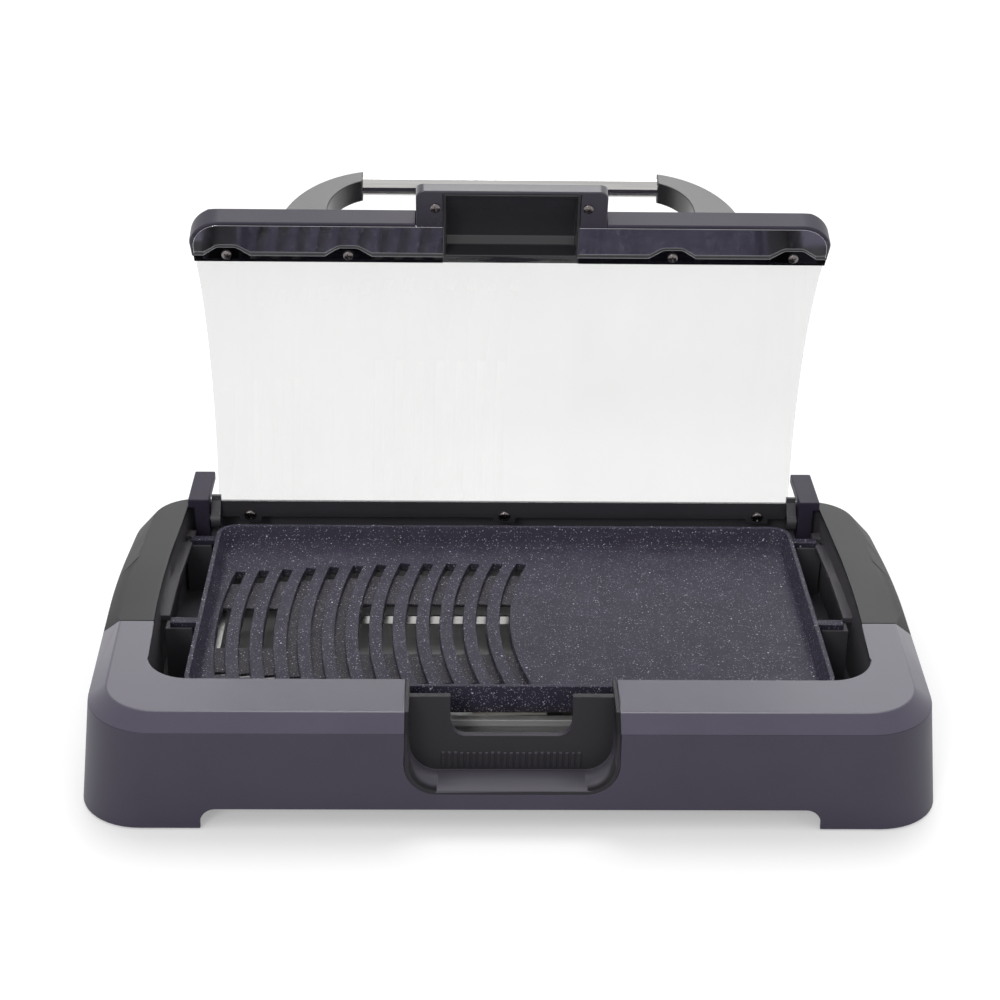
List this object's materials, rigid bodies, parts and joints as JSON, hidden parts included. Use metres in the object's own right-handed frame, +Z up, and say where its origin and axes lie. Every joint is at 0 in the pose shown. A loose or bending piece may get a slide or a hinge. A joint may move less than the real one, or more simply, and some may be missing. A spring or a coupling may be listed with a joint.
{
  "type": "electric grill",
  "caption": "Low countertop electric grill with a lift-off half-slotted plate over a drip tray, a front bay for a plug-in control, and a hinged curved glass lid with a bar handle.",
  "frame": {"origin": "on the table, under the middle of the whole grill's width and depth with the lid open; the base's own middle is 8.5 mm in front of it, because the hinge brackets reach back past the base", "axes": "+X to the right seen from the front, +Y to the rear where the lid is hinged, +Z up"},
  "size_m": [0.5642, 0.351, 0.3538],
  "materials": {
    "housing_plastic": "fine-textured matte, dark purple-grey",
    "rim_plastic": "satin, dark lilac-grey",
    "rail_plastic": "satin, dark neutral grey",
    "black_plastic": "semi-matte black",
    "gloss_black": "mirror-gloss black",
    "coated_plate": "non-stick coating with pale speckles",
    "bright_steel": "bright drawn steel",
    "tray_metal": "bright pressed sheet",
    "element_steel": "dull heat-darkened tube",
    "terminal_ceramic": "unglazed off-white",
    "clear_glass": "clear tempered, polished",
    "silicone": "matte black",
    "foot_rubber": "matte black",
    "screw_steel": "nickel-plated",
    "mirror_steel": "mirror-polished stainless sheet"
  },
  "bodies": {
    "base": {"lower_housing": "housing_plastic", "front_rim": "rim_plastic", "side_rail_left": "rail_plastic", "side_rail_right": "rail_plastic", "rear_cover": "gloss_black", "inner_tub": "black_plastic", "bay_insert": "black_plastic", "bottom_plate": "black_plastic", "foot_front_left": "foot_rubber", "foot_front_right": "foot_rubber", "foot_rear_left": "foot_rubber", "foot_rear_right": "foot_rubber", "base_screws": "screw_steel", "hinge_bracket_left": "housing_plastic", "hinge_bracket_right": "housing_plastic", "hinge_pin_left": "bright_steel", "hinge_pin_right": "bright_steel", "bracket_screws": "screw_steel"},
    "lid": {"lid_glass": "clear_glass", "front_band": "rim_plastic", "band_liner": "mirror_steel", "clamp_strip_left": "mirror_steel", "clamp_strip_right": "mirror_steel", "clamp_screws": "screw_steel", "front_seal": "silicone", "hood_shell": "housing_plastic", "hood_liner": "gloss_black", "hood_screws": "screw_steel", "handle_arm_left": "black_plastic", "handle_arm_right": "black_plastic", "handle_tube": "bright_steel", "handle_screws": "screw_steel", "rear_band": "gloss_black", "rear_clamp": "gloss_black", "rear_seal": "silicone", "rear_screws": "screw_steel", "hinge_block_left": "black_plastic", "hinge_block_right": "black_plastic"},
    "plate": {"grill_plate": "coated_plate", "heating_element": "element_steel", "terminal_block": "terminal_ceramic", "terminal_pins": "bright_steel"},
    "tray": {"drip_tray": "tray_metal"}
  },
  "joints": [
    {"name": "lid_hinge", "type": "hinge", "parent": "base", "child": "lid", "pos_m": [0, 0.13246, 0.067], "axis": [1, 0, 0], "range_deg": [0, 72.5]},
    {"name": "plate_lift", "type": "slide", "parent": "base", "child": "plate", "axis": [0, 0, 1], "range_m": [0, 0.005]},
    {"name": "tray_lift", "type": "slide", "parent": "base", "child": "tray", "axis": [0, 0, 1], "range_m": [0, 0.003]}
  ]
}
